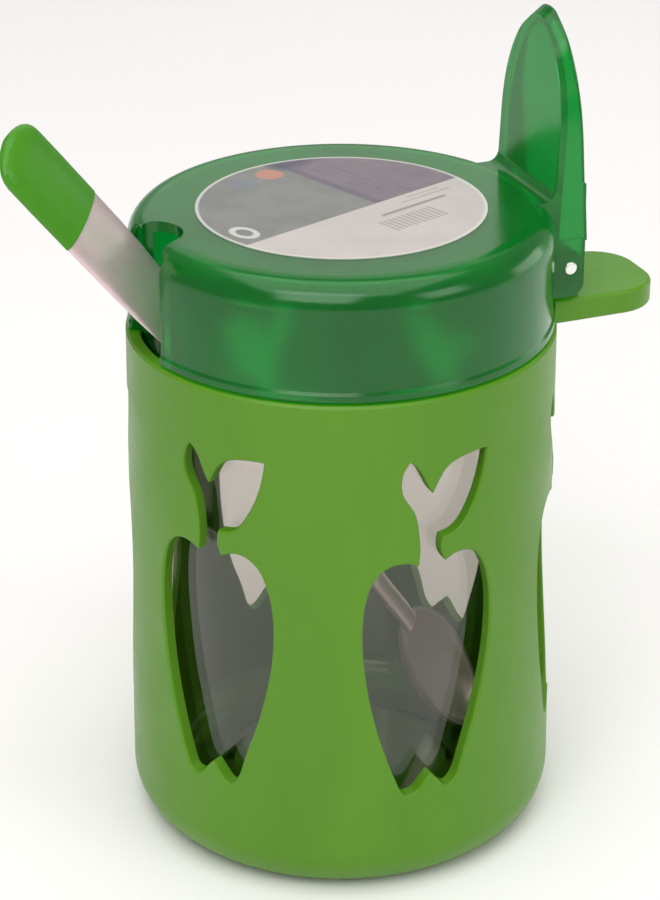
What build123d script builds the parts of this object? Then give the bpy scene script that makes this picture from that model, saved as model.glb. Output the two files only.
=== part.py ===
"""Spoon jar with a hinged thumb-lever lid.

A glass jar stands in an opaque plastic holder that has six apple-shaped
windows and a finger tab at the rim. A translucent lid, moulded in one piece
with an upright thumb lever, swings on a pin through a knuckle on the holder.
A notch at the front of the lid lets the spoon's handle out.

Frame: +Z up, origin at the centre of the base on the ground, +X towards the
hinge and finger tab, -X towards the spoon notch. Millimetres.
"""
from build123d import *
from math import cos, radians, sin
import os

os.makedirs("parts", exist_ok=True)

# ---------------------------------------------------------------- dimensions
# holder
HOLDER_R_RIM = 45.0        # outer radius at the rim
HOLDER_R_FOOT = 46.3       # outer radius just above the rounded foot
HOLDER_RIM_Z = 113.5
HOLDER_FOOT_ROUND = 10.0
HOLDER_WALL = 2.6
HOLDER_FLOOR = 3.0
FOOT_RECESS_R = 31.0
FOOT_PAD_R = 12.0
FOOT_RECESS = 1.2
WINDOW_COUNT = 6
WINDOW_FIRST = -88.0       # centre line of the first window, degrees from +X
WINDOW_ROUND = 0.5         # rounding of the windows' outer edges

# finger tab and hinge
TAB_TIP_X = 70.0
TAB_HALF = 12.5
TAB_TIP_ROUND = 9.5
TAB_Z0 = 110.0
TAB_Z1 = 115.3
PIN_X = 46.2
PIN_Z = 123.0
PIN_R = 1.5
PIN_HALF = 14.1
KNUCKLE_R = 3.4
KNUCKLE_HALF = 10.9

# glass jar
JAR_R = 41.8
JAR_WALL = 2.6
JAR_RIM_Z = 111.6
JAR_FLOOR = 4.2

# lid
LID_RIM_Z = 113.8
LID_R = 44.1
LID_BEAD_R = 44.5
LID_BEAD_H = 2.4
LID_TOP_Z = 138.4
LID_SHOULDER = 5.8
LID_WALL = 2.2
NOTCH_HALF = 6.8           # spoon slot, half width
NOTCH_INNER_X = -34.6      # inner end of the spoon slot
POCKET_HALF = 9.4          # flat pocket round the slot
POCKET_X = -40.8

# thumb lever and its ears; heights h are above the lid's top
LEVER_FRONT = (41.9, 0.045)     # front face: x at h = 0, lean per mm of h
LEVER_REAR = (48.9, -0.071)     # rear rim: x at h = 0, lean per mm of h
LEVER_HALF = 14.0
LEVER_SPRING = 11.3             # height where the arch begins
LEVER_TOP_FRONT = 35.8
LEVER_TOP_REAR = 38.0
LEVER_WALL = 2.2
LEVER_ROUND = 0.5
LEVER_X = LEVER_FRONT[0]
EAR_INNER = 11.4
EAR_X = 49.2
EAR_BOTTOM_Z = 116.7
EAR_BORE_R = 1.56

# label
LABEL_R = 30.0
LABEL_T = 0.2

# spoon
SPOON_TIP = (-69.8, 161.4)
SPOON_BEND = (-37.0, 119.4)
SPOON_NECK = (16.2, 38.9)
SPOON_TURN = -47.0         # turn of the handle's face about its own line
GRIP_LENGTH = 23.2
BOWL_L = 34.0
BOWL_W = 22.0
BOWL_D = 7.0


# -------------------------------------------------------------------- holder
# one window, drawn flat: x to the right seen from outside, y = height
def bent(points, radius=45.0):
    """arc lengths along the wall turned into straight widths"""
    return [(radius * sin(s / radius), z) for s, z in points]


STEM_TO_VALLEY = bent([(-4.9, 100.5), (-3.3, 99.0), (-1.8, 96.2), (0.0, 93.1)])
VALLEY_TO_TIP = bent([(0.0, 93.1), (1.3, 95.6), (3.2, 98.2), (6.6, 99.7), (12.6, 100.1)])
TIP_TO_STEM = bent([(12.6, 100.1), (11.4, 93.9), (8.9, 88.0), (6.2, 84.4), (2.2, 83.1)])
STEM_TO_SHOULDER = bent([(2.2, 83.1), (1.9, 80.0), (3.0, 77.5)])
RIGHT_SIDE = bent([(3.0, 77.5), (4.8, 78.4), (7.4, 78.7), (10.2, 77.4), (12.7, 73.4), (14.1, 67.8),
                   (14.5, 61.5), (13.9, 53.5), (12.3, 45.4), (10.0, 37.2), (7.4, 29.2), (6.0, 25.7),
                   (4.3, 24.3), (2.4, 25.7), (0.2, 28.2)])
LEFT_SIDE = bent([(0.2, 28.2), (-1.7, 26.1), (-3.5, 24.3), (-5.2, 24.0), (-6.9, 26.3), (-9.0, 32.0),
                  (-11.3, 39.6), (-13.0, 47.2), (-14.1, 55.2), (-14.5, 63.0), (-13.9, 69.8),
                  (-12.2, 74.9), (-9.4, 77.7), (-6.2, 78.3), (-2.9, 77.2)])
STEM_LEFT = bent([(-2.9, 77.2), (-2.6, 80.4), (-2.9, 85.0), (-4.1, 89.8), (-6.2, 93.4), (-6.6, 96.2),
                  (-4.9, 100.5)])

def on_outer_wall(edge):
    """true for a window's edge on the outside of the sleeve"""
    points = [edge.position_at(t) for t in (0, 0.25, 0.5, 0.75, 1)]
    return (min(p.Z for p in points) > 20 and max(p.Z for p in points) < 105
            and min((p.X ** 2 + p.Y ** 2) ** 0.5 for p in points) > 44.6)


with BuildPart() as holder:
    # sleeve and floor, turned about Z
    with BuildSketch(Plane.XZ):
        with BuildLine():
            Polyline((0, 0), (FOOT_PAD_R, 0), (FOOT_PAD_R + 1.0, FOOT_RECESS),
                     (FOOT_RECESS_R, FOOT_RECESS), (FOOT_RECESS_R + 1.0, 0),
                     (HOLDER_R_FOOT - HOLDER_FOOT_ROUND, 0))
            RadiusArc((HOLDER_R_FOOT - HOLDER_FOOT_ROUND, 0), (HOLDER_R_FOOT, HOLDER_FOOT_ROUND),
                      -HOLDER_FOOT_ROUND)
            Polyline((HOLDER_R_FOOT, HOLDER_FOOT_ROUND), (HOLDER_R_RIM, HOLDER_RIM_Z - 0.5),
                     (HOLDER_R_RIM - 0.5, HOLDER_RIM_Z), (HOLDER_R_RIM - HOLDER_WALL, HOLDER_RIM_Z),
                     (HOLDER_R_FOOT - HOLDER_WALL - 0.4, HOLDER_FOOT_ROUND + 2.0))
            RadiusArc((HOLDER_R_FOOT - HOLDER_WALL - 0.4, HOLDER_FOOT_ROUND + 2.0),
                      (HOLDER_R_FOOT - HOLDER_WALL - 0.4 - 9.0, HOLDER_FLOOR), 9.0)
            Polyline((HOLDER_R_FOOT - HOLDER_WALL - 0.4 - 9.0, HOLDER_FLOOR), (0, HOLDER_FLOOR),
                     (0, 0))
        make_face()
    revolve(axis=Axis.Z)
    # apple windows
    for i in range(WINDOW_COUNT):
        a = radians(WINDOW_FIRST + i * 360.0 / WINDOW_COUNT)
        with BuildSketch(Plane(origin=(36 * cos(a), 36 * sin(a), 0), x_dir=(-sin(a), cos(a), 0),
                               z_dir=(cos(a), sin(a), 0))):
            with BuildLine():
                Spline(*STEM_TO_VALLEY)
                Spline(*VALLEY_TO_TIP)
                Spline(*TIP_TO_STEM)
                Spline(*STEM_TO_SHOULDER)
                Spline(*RIGHT_SIDE)
                Spline(*LEFT_SIDE)
                Spline(*STEM_LEFT)
            make_face()
        extrude(amount=14, mode=Mode.SUBTRACT)
    fillet(holder.edges().filter_by(on_outer_wall), radius=WINDOW_ROUND)
    # finger tab
    with BuildSketch(Plane.XY.offset(TAB_Z0)):
        with BuildLine():
            FilletPolyline((43.6, TAB_HALF), (TAB_TIP_X, TAB_HALF), (TAB_TIP_X, -TAB_HALF),
                           (43.6, -TAB_HALF), radius=TAB_TIP_ROUND)
            Line((43.6, -TAB_HALF), (43.6, TAB_HALF))
        make_face()
        Circle(HOLDER_R_RIM - HOLDER_WALL / 2, mode=Mode.SUBTRACT)
    extrude(amount=TAB_Z1 - TAB_Z0)
    tab_edges = holder.edges().filter_by_position(Axis.X, 47.0, TAB_TIP_X + 1, (False, True))
    fillet(tab_edges.filter_by(GeomType.CIRCLE) + tab_edges.filter_by(GeomType.LINE)
           .filter_by(Axis.Y), radius=0.9)
    # hinge knuckle, standing on the root of the tab
    with BuildSketch(Plane.XZ.offset(-KNUCKLE_HALF)):
        with BuildLine():
            Line((PIN_X - KNUCKLE_R, TAB_Z0 + 1.0), (PIN_X - KNUCKLE_R, PIN_Z))
            ThreePointArc((PIN_X - KNUCKLE_R, PIN_Z), (PIN_X, PIN_Z + KNUCKLE_R),
                          (PIN_X + KNUCKLE_R, PIN_Z))
            Polyline((PIN_X + KNUCKLE_R, PIN_Z), (PIN_X + KNUCKLE_R, TAB_Z0 + 1.0),
                     (PIN_X - KNUCKLE_R, TAB_Z0 + 1.0))
        make_face()
    extrude(amount=2 * KNUCKLE_HALF)
    with BuildSketch(Plane.XZ.offset(-20)):
        with Locations((PIN_X, PIN_Z)):
            Circle(PIN_R + 0.02)
    extrude(amount=40, mode=Mode.SUBTRACT)
holder.part.label = "holder"

# ----------------------------------------------------------------------- jar
JAR_Z0 = HOLDER_FLOOR
with BuildPart() as jar:
    with BuildSketch(Plane.XZ):
        with BuildLine():
            Polyline((0, JAR_Z0 + 1.2), (24.0, JAR_Z0 + 1.2), (27.0, JAR_Z0), (33.0, JAR_Z0))
            RadiusArc((33.0, JAR_Z0), (JAR_R, JAR_Z0 + 8.8), -8.8)
            Line((JAR_R, JAR_Z0 + 8.8), (JAR_R, JAR_RIM_Z - 1.3))
            ThreePointArc((JAR_R, JAR_RIM_Z - 1.3), (JAR_R - JAR_WALL / 2, JAR_RIM_Z),
                          (JAR_R - JAR_WALL, JAR_RIM_Z - 1.3))
            Line((JAR_R - JAR_WALL, JAR_RIM_Z - 1.3), (JAR_R - JAR_WALL, JAR_Z0 + JAR_FLOOR + 5.0))
            RadiusArc((JAR_R - JAR_WALL, JAR_Z0 + JAR_FLOOR + 5.0),
                      (JAR_R - JAR_WALL - 5.0, JAR_Z0 + JAR_FLOOR), 5.0)
            Polyline((JAR_R - JAR_WALL - 5.0, JAR_Z0 + JAR_FLOOR), (0, JAR_Z0 + JAR_FLOOR),
                     (0, JAR_Z0 + 1.2))
        make_face()
    revolve(axis=Axis.Z)
jar.part.label = "jar"

# ----------------------------------------------------------------------- lid
# the hollow under the lid, less the wall behind the spoon pocket
with BuildPart() as lid_hollow:
    with BuildSketch(Plane.XZ):
        with BuildLine():
            Polyline((0, LID_RIM_Z - 2), (LID_R - LID_WALL, LID_RIM_Z - 2),
                     (LID_R - LID_WALL, LID_TOP_Z - LID_SHOULDER))
            RadiusArc((LID_R - LID_WALL, LID_TOP_Z - LID_SHOULDER),
                      (LID_R - LID_SHOULDER, LID_TOP_Z - LID_WALL), -(LID_SHOULDER - LID_WALL))
            Polyline((LID_R - LID_SHOULDER, LID_TOP_Z - LID_WALL), (0, LID_TOP_Z - LID_WALL),
                     (0, LID_RIM_Z - 2))
        make_face()
    revolve(axis=Axis.Z)
    with BuildSketch(Plane.XY.offset(LID_RIM_Z - 3)):
        with Locations((POCKET_X - 2.0, 0)):
            Rectangle(2 * (2.0 + LID_WALL), 2 * (POCKET_HALF + LID_WALL))
    extrude(amount=40, mode=Mode.SUBTRACT)

# outline of the thumb lever: straight sides, then a slightly pointed arch
def arch(half, top):
    """points (half width, height) from the spring line up to the apex"""
    points = []
    for u in (0.0, 0.25, 0.48, 0.68, 0.84, 0.95, 1.0):
        points.append((half * max(1 - u ** 2.2, 0) ** 0.6, LEVER_SPRING + (top - LEVER_SPRING) * u))
    return points


def lever_plane(base, behind=0.0):
    """plane of the lever's front or rear, x across and y up"""
    return Plane(origin=(base[0] + behind, 0, LID_TOP_Z), x_dir=(0, 1, 0), z_dir=(1, 0, -base[1]))


def on_lever_rim(edge):
    """true for the arched edges at the back of the lever"""
    points = [edge.position_at(t) for t in (0, 0.2, 0.5, 0.8, 1)]
    rear = lever_plane(LEVER_REAR)
    off = [abs((p - rear.origin).dot(rear.z_dir)) for p in points]
    return max(off) < 0.02 and points[2].Z > LID_TOP_Z + 12


def on_pocket_corner(edge):
    """true for the upright corners of the spoon pocket"""
    points = [edge.position_at(t) for t in (0, 0.2, 0.5, 0.8, 1)]
    return (max(abs(abs(p.Y) - POCKET_HALF) for p in points) < 0.05
            and max(p.X for p in points) < -41.2)


with BuildPart() as lid:
    # cap: bead at the rim, straight skirt, rounded shoulder, flat top
    with BuildSketch(Plane.XZ):
        with BuildLine():
            Polyline((0, LID_RIM_Z), (LID_BEAD_R - 0.5, LID_RIM_Z), (LID_BEAD_R, LID_RIM_Z + 0.5),
                     (LID_BEAD_R, LID_RIM_Z + LID_BEAD_H - 0.6),
                     (LID_R, LID_RIM_Z + LID_BEAD_H), (LID_R, LID_TOP_Z - LID_SHOULDER))
            RadiusArc((LID_R, LID_TOP_Z - LID_SHOULDER), (LID_R - LID_SHOULDER, LID_TOP_Z),
                      -LID_SHOULDER)
            Polyline((LID_R - LID_SHOULDER, LID_TOP_Z), (0, LID_TOP_Z), (0, LID_RIM_Z))
        make_face()
    revolve(axis=Axis.Z)
    # flat pocket in the skirt where the spoon leaves
    with BuildSketch(Plane.XY.offset(LID_RIM_Z - 1)):
        with Locations((POCKET_X - 5.0, 0)):
            Rectangle(10.0, 2 * POCKET_HALF)
    extrude(amount=40, mode=Mode.SUBTRACT)
    # flat ledge carried out over the shoulder, with a small hollow curve up into the lever
    with BuildSketch(Plane.XZ.offset(-LEVER_HALF)):
        with BuildLine():
            Polyline((LEVER_X - 6.0, LID_TOP_Z - 3.0), (LEVER_X - 6.0, LID_TOP_Z),
                     (LEVER_X - 2.4, LID_TOP_Z))
            RadiusArc((LEVER_X - 2.4, LID_TOP_Z), (LEVER_X + 0.1, LID_TOP_Z + 2.5), -2.5)
            Polyline((LEVER_X + 0.1, LID_TOP_Z + 2.5), (LEVER_X + 1.5, LID_TOP_Z + 2.5),
                     (LEVER_X + 1.5, LID_TOP_Z - 9.5), (LEVER_X - 2.0, LID_TOP_Z - 9.5),
                     (LEVER_X - 6.0, LID_TOP_Z - 3.0))
        make_face()
    extrude(amount=2 * LEVER_HALF)
    # lever: an upright arch, open to the rear, thinner towards its top
    for base, top in ((LEVER_FRONT, LEVER_TOP_FRONT), (LEVER_REAR, LEVER_TOP_REAR)):
        with BuildSketch(lever_plane(base)):
            with BuildLine():
                Polyline((LEVER_HALF, LEVER_SPRING), (LEVER_HALF, -9.5), (-LEVER_HALF, -9.5),
                         (-LEVER_HALF, LEVER_SPRING))
                Spline(*arch(LEVER_HALF, top), tangents=[(0, 1), (-1, 0)])
                Spline(*[(-x, y) for x, y in arch(LEVER_HALF, top)], tangents=[(0, 1), (1, 0)])
            make_face()
    loft(ruled=True)
    # ears that take the pin
    for side in (-1, 1):
        with BuildSketch(Plane.XZ.offset(-side * LEVER_HALF if side > 0 else EAR_INNER)):
            with BuildLine():
                Polyline((LEVER_X + 1.5, LID_TOP_Z + 3.0), (LEVER_X - 1.0, LID_TOP_Z - 5.0),
                         (LEVER_X - 1.0, EAR_BOTTOM_Z), (EAR_X - 3.0, EAR_BOTTOM_Z))
                RadiusArc((EAR_X - 3.0, EAR_BOTTOM_Z), (EAR_X, EAR_BOTTOM_Z + 3.0), -3.0)
                Polyline((EAR_X, EAR_BOTTOM_Z + 3.0), (EAR_X, PIN_Z + 5.0),
                         (LEVER_REAR[0], LID_TOP_Z + 3.0), (LEVER_X + 1.5, LID_TOP_Z + 3.0))
            make_face()
        extrude(amount=LEVER_HALF - EAR_INNER)
    # hollow under the lid
    add(lid_hollow.part, mode=Mode.SUBTRACT)
    # hollow of the lever, from the rear
    inner = LEVER_HALF - LEVER_WALL
    for base, behind, top in ((LEVER_FRONT, LEVER_WALL, LEVER_TOP_FRONT - 2.2),
                              (LEVER_REAR, 1.0, LEVER_TOP_REAR - 2.0)):
        with BuildSketch(lever_plane(base, behind)):
            with BuildLine():
                Polyline((inner, LEVER_SPRING), (inner, -9.5), (-inner, -9.5), (-inner, LEVER_SPRING))
                Spline(*arch(inner, top), tangents=[(0, 1), (-1, 0)])
                Spline(*[(-x, y) for x, y in arch(inner, top)], tangents=[(0, 1), (1, 0)])
            make_face()
    loft(ruled=True, mode=Mode.SUBTRACT)
    # clearance round the knuckle
    with BuildSketch(Plane.XZ.offset(-EAR_INNER)):
        with Locations((PIN_X, PIN_Z)):
            Circle(KNUCKLE_R + 0.8)
        with BuildLine():
            Polyline((PIN_X - KNUCKLE_R - 0.8, PIN_Z), (PIN_X - KNUCKLE_R - 0.8, LID_RIM_Z - 2),
                     (EAR_X + 4, LID_RIM_Z - 2), (EAR_X + 4, PIN_Z), (PIN_X - KNUCKLE_R - 0.8, PIN_Z))
        make_face()
    extrude(amount=2 * EAR_INNER, mode=Mode.SUBTRACT)
    # pin holes
    with BuildSketch(Plane.XZ.offset(-20)):
        with Locations((PIN_X, PIN_Z)):
            Circle(EAR_BORE_R)
    extrude(amount=40, mode=Mode.SUBTRACT)
    # spoon slot: round inner end, open through the top, the pocket's wall and the rim
    with BuildSketch(Plane.XY.offset(LID_RIM_Z - 1)):
        with Locations((NOTCH_INNER_X - NOTCH_HALF - 8.0, 0)):
            Rectangle(16.0, 2 * NOTCH_HALF)
        with Locations((NOTCH_INNER_X - NOTCH_HALF, 0)):
            Circle(NOTCH_HALF)
    extrude(amount=40, mode=Mode.SUBTRACT)
    # eased edges: the lever's rear rims, the pocket's corners
    fillet(lid.edges().filter_by(on_lever_rim), radius=LEVER_ROUND)
    fillet(lid.edges().filter_by(on_pocket_corner), radius=0.8)
lid.part.label = "lid"

# ---------------------------------------------------------------------- label
with BuildPart() as label:
    with BuildSketch(Plane.XY.offset(LID_TOP_Z)):
        Circle(LABEL_R)
    extrude(amount=LABEL_T)
label.part.label = "lid_label"

# ------------------------------------------------------------------ hinge pin
with BuildPart() as hinge_pin:
    with BuildSketch(Plane.XZ.offset(-PIN_HALF)):
        with Locations((PIN_X, PIN_Z)):
            Circle(PIN_R)
    extrude(amount=2 * PIN_HALF)
    fillet(hinge_pin.edges().filter_by(GeomType.CIRCLE), radius=0.5)
hinge_pin.part.label = "hinge_pin"


# ---------------------------------------------------------------------- spoon
# a point on the spoon's line: straight outer part, gentle bend, straight inner
def spoon_point(s):
    """s = distance from the handle's end along the line; returns point and direction"""
    ox, oz = SPOON_TIP
    bx, bz = SPOON_BEND
    nx, nz = SPOON_NECK
    l1 = ((bx - ox) ** 2 + (bz - oz) ** 2) ** 0.5
    l2 = ((nx - bx) ** 2 + (nz - bz) ** 2) ** 0.5
    d1 = ((bx - ox) / l1, (bz - oz) / l1)
    d2 = ((nx - bx) / l2, (nz - bz) / l2)
    half = 24.0
    if s <= l1 - half:
        return (ox + d1[0] * s, oz + d1[1] * s), d1
    if s >= l1 + half:
        return (bx + d2[0] * (s - l1), bz + d2[1] * (s - l1)), d2
    t = (s - (l1 - half)) / (2 * half)
    p0 = (bx - d1[0] * half, bz - d1[1] * half)
    p2 = (bx + d2[0] * half, bz + d2[1] * half)
    x = (1 - t) ** 2 * p0[0] + 2 * t * (1 - t) * bx + t ** 2 * p2[0]
    z = (1 - t) ** 2 * p0[1] + 2 * t * (1 - t) * bz + t ** 2 * p2[1]
    dx = 2 * (1 - t) * (bx - p0[0]) + 2 * t * (p2[0] - bx)
    dz = 2 * (1 - t) * (bz - p0[1]) + 2 * t * (p2[1] - bz)
    n = (dx * dx + dz * dz) ** 0.5
    return (x, z), (dx / n, dz / n)


def spoon_plane(s):
    """section plane at s: x across the handle's face, z along the handle"""
    (x, z), (dx, dz) = spoon_point(s)
    f = radians(SPOON_TURN)
    return Plane(origin=(x, 0, z), x_dir=(-dz * cos(f), -sin(f), dx * cos(f)), z_dir=(dx, 0, dz))


SPOON_LENGTH = (((SPOON_BEND[0] - SPOON_TIP[0]) ** 2 + (SPOON_BEND[1] - SPOON_TIP[1]) ** 2) ** 0.5
                + ((SPOON_NECK[0] - SPOON_BEND[0]) ** 2 + (SPOON_NECK[1] - SPOON_BEND[1]) ** 2) ** 0.5)

# bowl: half an ellipsoid shell in its own frame, +X from the neck to its tip
with BuildPart() as bowl_inside:
    Sphere(1.0)
    scale(by=(BOWL_L / 2 - 1.1, BOWL_W / 2 - 1.1, BOWL_D - 1.1))
with BuildPart() as bowl:
    Sphere(1.0)
    scale(by=(BOWL_L / 2, BOWL_W / 2, BOWL_D))
    add(bowl_inside.part, mode=Mode.SUBTRACT)
    split(bisect_by=Plane.XY, keep=Keep.BOTTOM)
bowl_at = spoon_plane(SPOON_LENGTH + BOWL_L / 2)
bowl_place = Plane(origin=bowl_at.origin, x_dir=bowl_at.z_dir, z_dir=bowl_at.y_dir)

# steel blade of the handle, oval in section: distance, width, thickness
BLADE = [(GRIP_LENGTH, 16.6, 3.8), (32.0, 16.4, 3.8), (39.0, 16.0, 3.7), (45.0, 15.3, 3.6),
         (51.0, 14.0, 3.4), (58.0, 12.2, 3.2), (66.0, 10.4, 3.0), (75.0, 9.0, 2.8), (95.0, 7.2, 2.6),
         (120.0, 6.2, 2.4), (SPOON_LENGTH + 1.5, 6.0, 2.4)]
with BuildPart() as spoon:
    for s, w, t in BLADE:
        with BuildSketch(spoon_plane(s)):
            Ellipse(w / 2, t / 2)
    loft(ruled=True)
    # tang inside the grip
    with BuildSketch(spoon_plane(GRIP_LENGTH + 1.0)):
        RectangleRounded(11.0, 1.8, 0.5)
    extrude(amount=-13.0)
    add(bowl.part.moved(bowl_place.location))
spoon.part.label = "spoon"

# moulded grip over the end of the blade: distance, width, thickness
GRIP = [(0.0, 3.0, 1.4), (0.2, 4.8, 1.9), (0.5, 7.2, 2.5), (1.0, 9.9, 3.1), (1.8, 12.7, 3.6),
        (2.8, 14.9, 4.0), (4.0, 16.3, 4.3), (5.4, 16.9, 4.4), (12.0, 17.0, 4.5), (GRIP_LENGTH, 16.9, 4.3)]
with BuildPart() as spoon_grip:
    for s, w, t in GRIP:
        with BuildSketch(spoon_plane(s)):
            Ellipse(w / 2, t / 2)
    loft(ruled=True)
    add(spoon.part, mode=Mode.SUBTRACT)
spoon_grip.part.label = "spoon_grip"

for piece, name in ((holder, "holder"), (jar, "jar"), (lid, "lid"), (label, "lid_label"),
                    (hinge_pin, "hinge_pin"), (spoon, "spoon"), (spoon_grip, "spoon_grip")):
    export_step(piece.part, "parts/%s.step" % name)
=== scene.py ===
import math

import bmesh
import bpy
import numpy as np
from mathutils import Matrix, Vector

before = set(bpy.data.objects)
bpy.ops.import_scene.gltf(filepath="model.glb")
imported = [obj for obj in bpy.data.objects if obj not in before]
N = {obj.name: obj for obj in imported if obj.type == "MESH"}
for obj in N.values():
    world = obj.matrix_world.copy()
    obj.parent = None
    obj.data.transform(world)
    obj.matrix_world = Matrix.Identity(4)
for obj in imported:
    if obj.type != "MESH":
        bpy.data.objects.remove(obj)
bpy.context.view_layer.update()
MM = 0.001
scene = bpy.context.scene


# ------------------------------------------------------------------ node helpers
class Tree:
    """a small writer for procedural materials"""

    def __init__(self, name):
        self.mat = bpy.data.materials.new(name)
        self.mat.use_nodes = True
        self.t = self.mat.node_tree
        self.t.nodes.clear()
        self.out = self.t.nodes.new("ShaderNodeOutputMaterial")

    def node(self, kind, **props):
        n = self.t.nodes.new(kind)
        for k, v in props.items():
            setattr(n, k, v)
        return n

    def link(self, a, b):
        self.t.links.new(a, b)

    def put(self, socket, value):
        if isinstance(value, bpy.types.NodeSocket):
            self.link(value, socket)
        else:
            socket.default_value = value

    def coords(self, scale=(1, 1, 1), turn=(0, 0, 0), shift=(0, 0, 0)):
        c = self.node("ShaderNodeTexCoord")
        m = self.node("ShaderNodeMapping")
        m.inputs["Scale"].default_value = scale
        m.inputs["Rotation"].default_value = turn
        m.inputs["Location"].default_value = shift
        self.link(c.outputs["Object"], m.inputs["Vector"])
        return m.outputs["Vector"]

    def noise(self, scale, detail=3.0, rough=0.5, vec=None, distortion=0.0):
        n = self.node("ShaderNodeTexNoise")
        n.inputs["Scale"].default_value = scale
        n.inputs["Detail"].default_value = detail
        n.inputs["Roughness"].default_value = rough
        n.inputs["Distortion"].default_value = distortion
        self.link(vec if vec is not None else self.coords(), n.inputs["Vector"])
        return n.outputs["Fac"]

    def math(self, op, a, b=None, c=None, clamp=False):
        n = self.node("ShaderNodeMath", operation=op, use_clamp=clamp)
        self.put(n.inputs[0], a)
        if b is not None:
            self.put(n.inputs[1], b)
        if c is not None:
            self.put(n.inputs[2], c)
        return n.outputs[0]

    def remap(self, v, a, b, lo, hi):
        n = self.node("ShaderNodeMapRange")
        n.inputs["From Min"].default_value = a
        n.inputs["From Max"].default_value = b
        n.inputs["To Min"].default_value = lo
        n.inputs["To Max"].default_value = hi
        self.link(v, n.inputs["Value"])
        return n.outputs["Result"]

    def mix(self, f, a, b):
        n = self.node("ShaderNodeMix", data_type="RGBA")
        self.put(n.inputs["Factor"], f)
        self.put(n.inputs["A"], a)
        self.put(n.inputs["B"], b)
        return n.outputs["Result"]

    def bump(self, height, strength, distance, normal=None):
        n = self.node("ShaderNodeBump")
        n.inputs["Strength"].default_value = strength
        n.inputs["Distance"].default_value = distance
        self.link(height, n.inputs["Height"])
        if normal is not None:
            self.link(normal, n.inputs["Normal"])
        return n.outputs["Normal"]

    def principled(self, **values):
        n = self.node("ShaderNodeBsdfPrincipled")
        for k, v in values.items():
            self.put(n.inputs[k.replace("_", " ")], v)
        return n

    def finish(self, shader):
        self.link(shader, self.out.inputs["Surface"])
        return self.mat

    def lamps_through(self, shader, tint):
        """lets lamps through to what stands behind"""
        lp = self.node("ShaderNodeLightPath")
        tr = self.node("ShaderNodeBsdfTransparent")
        tr.inputs["Color"].default_value = tint
        mx = self.node("ShaderNodeMixShader")
        self.link(lp.outputs["Is Shadow Ray"], mx.inputs[0])
        self.link(shader, mx.inputs[1])
        self.link(tr.outputs[0], mx.inputs[2])
        return mx.outputs[0]


def srgb(r, g, b, a=1.0):
    def lin(c):
        c /= 255.0
        return c / 12.92 if c <= 0.04045 else ((c + 0.055) / 1.055) ** 2.4

    return (lin(r), lin(g), lin(b), a)


# --------------------------------------------------------------------- materials
def plastic(name, base, shade, rough=(0.3, 0.42), peel=0.05, specks=0.0):
    """opaque moulded plastic: slight flow marks in the colour, fine surface peel"""
    t = Tree(name)
    flow = t.noise(26.0, 4.0, 0.55, t.coords(scale=(1.0, 1.0, 0.35)), distortion=0.6)
    fine = t.noise(900.0, 2.0, 0.5)
    colour = t.mix(t.remap(flow, 0.3, 0.7, 0.0, 1.0), base, shade)
    r = t.remap(t.noise(70.0, 5.0, 0.6), 0.3, 0.7, rough[0], rough[1])
    n1 = t.bump(fine, peel, 0.00012)
    n2 = t.bump(t.noise(160.0, 3.0, 0.5), peel * 0.8, 0.0004, n1)
    p = t.principled(Base_Color=colour, Roughness=r, Normal=n2)
    p.inputs["IOR"].default_value = 1.49
    p.inputs["Subsurface Weight"].default_value = 0.12
    p.inputs["Subsurface Radius"].default_value = (0.6, 1.0, 0.3)
    p.inputs["Subsurface Scale"].default_value = 0.0012
    p.inputs["Specular IOR Level"].default_value = 0.32
    return t.finish(p.outputs[0])


def green_clear(name):
    """see-through dark green plastic, glossy, a little milky"""
    t = Tree(name)
    flow = t.noise(24.0, 3.0, 0.5, t.coords(scale=(1.0, 1.0, 0.5)), distortion=0.8)
    colour = t.mix(t.remap(flow, 0.3, 0.7, 0.0, 1.0), srgb(8, 160, 62), srgb(3, 140, 49))
    r = t.remap(t.noise(90.0, 4.0, 0.6), 0.3, 0.7, 0.14, 0.2)
    peel = t.bump(t.noise(120.0, 3.0, 0.5), 0.10, 0.0004)
    p = t.principled(Base_Color=colour, Roughness=r, Normal=peel)
    p.inputs["IOR"].default_value = 1.47
    p.inputs["Transmission Weight"].default_value = 0.78
    p.inputs["Specular IOR Level"].default_value = 0.26
    return t.finish(t.lamps_through(p.outputs[0], (0.2, 0.75, 0.3, 1.0)))


def glass(name):
    """clear pressed glass with faint ripples"""
    t = Tree(name)
    ripple = t.noise(38.0, 2.0, 0.5, t.coords(scale=(1.0, 1.0, 0.3)))
    r = t.remap(t.noise(120.0, 4.0, 0.6), 0.45, 0.75, 0.0, 0.03)
    p = t.principled(
        Base_Color=(0.72, 0.69, 0.66, 1.0), Roughness=r, Normal=t.bump(ripple, 0.2, 0.0012)
    )
    p.inputs["IOR"].default_value = 1.5
    p.inputs["Specular IOR Level"].default_value = 0.32
    p.inputs["Transmission Weight"].default_value = 1.0
    return t.finish(t.lamps_through(p.outputs[0], (0.8, 0.82, 0.8, 1.0)))


def steel(name, along, base=srgb(222, 200, 203), rough=(0.34, 0.46), metal=0.66):
    """satin steel, brushed along one direction; `along` = turn of the mapping"""
    t = Tree(name)
    lines = t.noise(1.0, 4.0, 0.65, t.coords(scale=(60.0, 1500.0, 1500.0), turn=along))
    r = t.remap(lines, 0.3, 0.7, rough[0], rough[1])
    smudge = t.noise(45.0, 4.0, 0.6)
    colour = t.mix(t.remap(smudge, 0.35, 0.7, 0.0, 1.0), base, [c * 0.92 for c in base[:3]] + [1.0])
    p = t.principled(Base_Color=colour, Roughness=r, Normal=t.bump(lines, 0.1, 0.00008))
    p.inputs["Metallic"].default_value = metal
    return t.finish(p.outputs[0])


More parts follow.
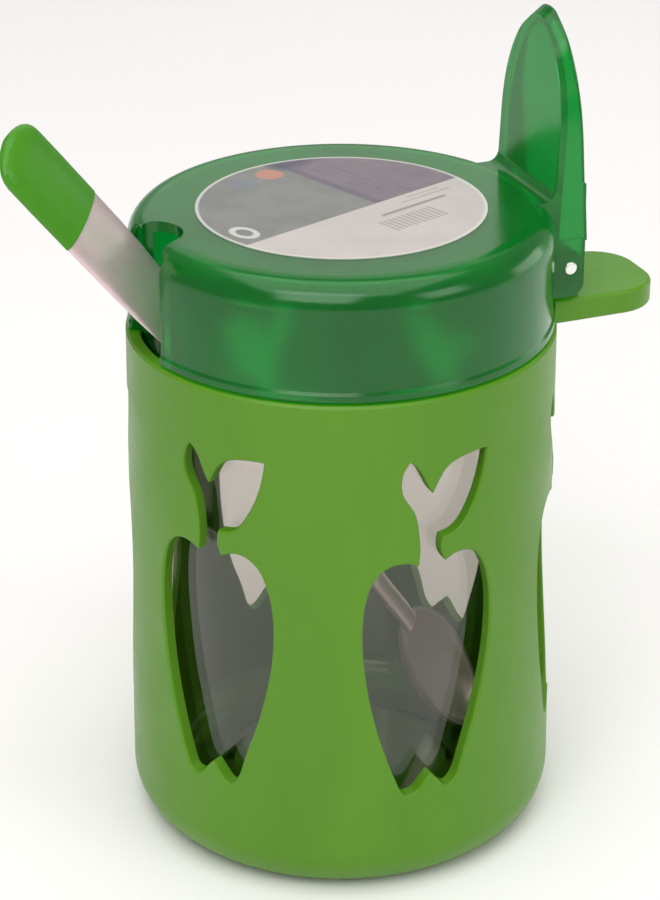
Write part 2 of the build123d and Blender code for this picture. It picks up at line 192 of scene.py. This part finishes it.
def label_paper(name):
    """coated paper disc: light panel, grey panel, ruled mauve band, small plain dots"""
    t = Tree(name)
    # u runs along the edge of the light panel, v away from it, in millimetres
    v = t.coords(scale=(1000.0, 1000.0, 1000.0))
    s = t.node("ShaderNodeSeparateXYZ")
    t.link(v, s.inputs[0])
    x, y = s.outputs[0], s.outputs[1]
    cu, su = 0.935, 0.355
    u = t.math("ADD", t.math("MULTIPLY", x, cu), t.math("MULTIPLY", y, su))
    w = t.math("SUBTRACT", t.math("MULTIPLY", y, cu), t.math("MULTIPLY", x, su))

    def step(val, at, soft=0.12):
        return t.math("MULTIPLY_ADD", val, 1.0 / (2 * soft), 0.5 - at / (2 * soft), clamp=True)

    def inside(a, lo, hi, soft=0.12):
        return t.math("SUBTRACT", step(a, lo, soft), step(a, hi, soft))

    def box(u0, u1, w0, w1):
        return t.math("MULTIPLY", inside(u, u0, u1), inside(w, w0, w1))

    def ring(cx, cy, r0, r1, flat=1.0):
        dx = t.math("SUBTRACT", u, cx)
        dy = t.math("MULTIPLY", t.math("SUBTRACT", w, cy), flat)
        d = t.math("SQRT", t.math("ADD", t.math("MULTIPLY", dx, dx), t.math("MULTIPLY", dy, dy)))
        return inside(d, r0, r1, 0.2) if r0 > 0 else t.math("SUBTRACT", 1.0, step(d, r1, 0.3))

    cloud = t.noise(110.0, 5.0, 0.6)
    grey = t.mix(t.remap(cloud, 0.3, 0.7, 0.0, 1.0), srgb(130, 130, 127), srgb(114, 117, 115))
    blotch = t.noise(60.0, 4.0, 0.6, t.coords(shift=(0.01, 0.02, 0.0)))
    mauve = t.mix(t.remap(blotch, 0.3, 0.7, 0.0, 1.0), srgb(128, 119, 123), srgb(108, 99, 111))
    light = t.mix(t.remap(cloud, 0.3, 0.7, 0.0, 1.0), srgb(190, 183, 179), srgb(182, 175, 172))
    # grey panel and mauve band behind, light panel in front
    c = t.mix(step(u, 6.0), grey, mauve)
    # rules along the band
    wave = t.math("PINGPONG", u, 1.05)
    rules = t.math("MULTIPLY", t.math("LESS_THAN", wave, 0.3), box(8.6, 19.0, -3.5, 20.0))
    c = t.mix(t.math("MULTIPLY", rules, 0.45), c, srgb(105, 95, 108))
    dark = t.math("MULTIPLY", inside(u, 6.0, 8.0, 0.15), step(w, -9.0, 0.5))
    c = t.mix(t.math("MULTIPLY", dark, 0.55), c, srgb(92, 86, 104))
    rear = t.math("MULTIPLY", step(w, 24.0, 1.5), step(u, 4.0, 1.0))
    c = t.mix(t.math("MULTIPLY", rear, 0.7), c, srgb(70, 76, 92))
    c = t.mix(t.math("MULTIPLY", ring(1.5, 24.0, 0, 3.0), 0.75), c, srgb(190, 128, 108))
    c = t.mix(t.math("MULTIPLY", ring(-6.5, 23.0, 0, 3.1), 0.55), c, srgb(112, 122, 132))
    c = t.mix(t.math("MULTIPLY", ring(-25.0, 1.5, 1.5, 2.6, 0.7), 0.7), c, srgb(214, 214, 208))
    front = t.math("SUBTRACT", 1.0, step(w, -4.0))
    c = t.mix(front, c, light)
    # plain grey bars and rules on the light panel: placeholders, no lettering
    bars = t.math(
        "MULTIPLY", t.math("LESS_THAN", t.math("PINGPONG", u, 0.62), 0.33), box(-1.5, 13.0, -18.5, -12.5)
    )
    c = t.mix(t.math("MULTIPLY", bars, 0.55), c, srgb(120, 112, 108))
    c = t.mix(t.math("MULTIPLY", box(2.0, 20.0, -10.6, -9.6), 0.6), c, srgb(96, 90, 90))
    c = t.mix(t.math("MULTIPLY", box(10.0, 24.0, -7.6, -7.0), 0.45), c, srgb(120, 115, 116))
    c = t.mix(t.math("MULTIPLY", box(13.0, 22.0, -6.0, -5.4), 0.4), c, srgb(120, 115, 116))
    # printed margin round the edge
    rr = t.math("SQRT", t.math("ADD", t.math("MULTIPLY", x, x), t.math("MULTIPLY", y, y)))
    c = t.mix(t.math("MULTIPLY", step(rr, 29.3, 0.1), 0.7), c, srgb(205, 205, 200))
    fibre = t.noise(1400.0, 3.0, 0.6)
    p = t.principled(
        Base_Color=c,
        Roughness=t.remap(t.noise(200.0, 3.0, 0.6), 0.3, 0.7, 0.42, 0.55),
        Normal=t.bump(fibre, 0.08, 0.00006),
    )
    return t.finish(p.outputs[0])


LIME = plastic("lime_plastic", srgb(88, 141, 27), srgb(81, 133, 23))
GRIP = plastic("grip_plastic", srgb(70, 142, 24), srgb(62, 133, 20), rough=(0.26, 0.36), peel=0.07)
GREEN = green_clear("green_clear_plastic")
GLASS = glass("jar_glass")
SPOON = steel("satin_steel", (0, math.radians(50), 0))
PIN = steel("pin_steel", (0, 0, math.radians(90)), base=srgb(235, 235, 232), rough=(0.15, 0.25), metal=0.8)
PAPER = label_paper("label_paper")


def dress(node, material):
    o = N[node]
    o.data.materials.clear()
    o.data.materials.append(material)
    return o


dress("holder", LIME)
dress("jar", GLASS)
dress("hinge_pin", PIN)
dress("lid", GREEN)
dress("lid_label", PAPER)
dress("spoon", SPOON)
dress("spoon_grip", GRIP)

# ------------------------------------------------------------------------- stage
bpy.ops.mesh.primitive_plane_add(size=6.0, location=(0, 0, 0))
floor = bpy.context.object
floor.name = "floor"
ft = Tree("floor_paper")
fp = ft.principled(
    Base_Color=ft.mix(ft.noise(6.0, 3.0), (0.90, 0.89, 0.885, 1), (0.93, 0.92, 0.915, 1)),
    Roughness=0.9,
)
floor.data.materials.append(ft.finish(fp.outputs[0]))

world = bpy.data.worlds.new("studio")
scene.world = world
world.use_nodes = True
bg = world.node_tree.nodes["Background"]
bg.inputs["Color"].default_value = (0.93, 0.91, 0.90, 1)
bg.inputs["Strength"].default_value = 0.36


def softbox(name, azimuth, elevation, distance, size, power, colour=(1, 1, 1), aim=(0, 0, 0.08)):
    """area lamp seen from the object at that azimuth (0 = from -Y) and elevation"""
    a, e = math.radians(azimuth), math.radians(elevation)
    at = Vector(aim) + distance * Vector(
        (math.sin(a) * math.cos(e), -math.cos(a) * math.cos(e), math.sin(e))
    )
    lamp = bpy.data.lights.new(name, "AREA")
    lamp.shape = "RECTANGLE"
    lamp.size, lamp.size_y = size
    lamp.energy = power
    lamp.color = colour
    o = bpy.data.objects.new(name, lamp)
    scene.collection.objects.link(o)
    o.location = at
    o.rotation_euler = (at - Vector(aim)).to_track_quat("Z", "Y").to_euler()
    o.visible_camera = False
    return o


softbox("key", -36, 42, 1.1, (0.7, 0.7), 5.0, (1.0, 0.99, 0.97))
softbox("fill", 34, 26, 1.3, (0.5, 0.5), 2.2, (1.0, 0.98, 0.96))
softbox("rear", 158, 35, 1.2, (1.1, 0.8), 1.6, (1.0, 0.97, 0.95))
softbox("side", 92, 8, 1.0, (0.5, 0.35), 1.1, (1.0, 0.98, 0.96))
softbox("over", -30, 82, 1.5, (1.8, 1.8), 19.0, (1.0, 0.99, 0.98))

# ------------------------------------------------------------------------ camera
cam = bpy.data.cameras.new("camera")
cam.sensor_width = 36.0
cam.lens = 105.56
cam.clip_start, cam.clip_end = 0.01, 20.0
camera = bpy.data.objects.new("camera", cam)
scene.collection.objects.link(camera)
camera.location = Vector((-191.67, -472.36, 326.63)) * MM
aim = Vector((-2.16, 0.87, 82.98)) * MM
camera.rotation_mode = "QUATERNION"
camera.rotation_quaternion = (camera.location - aim).to_track_quat("Z", "Y")
scene.camera = camera
scene.view_settings.view_transform = "Standard"
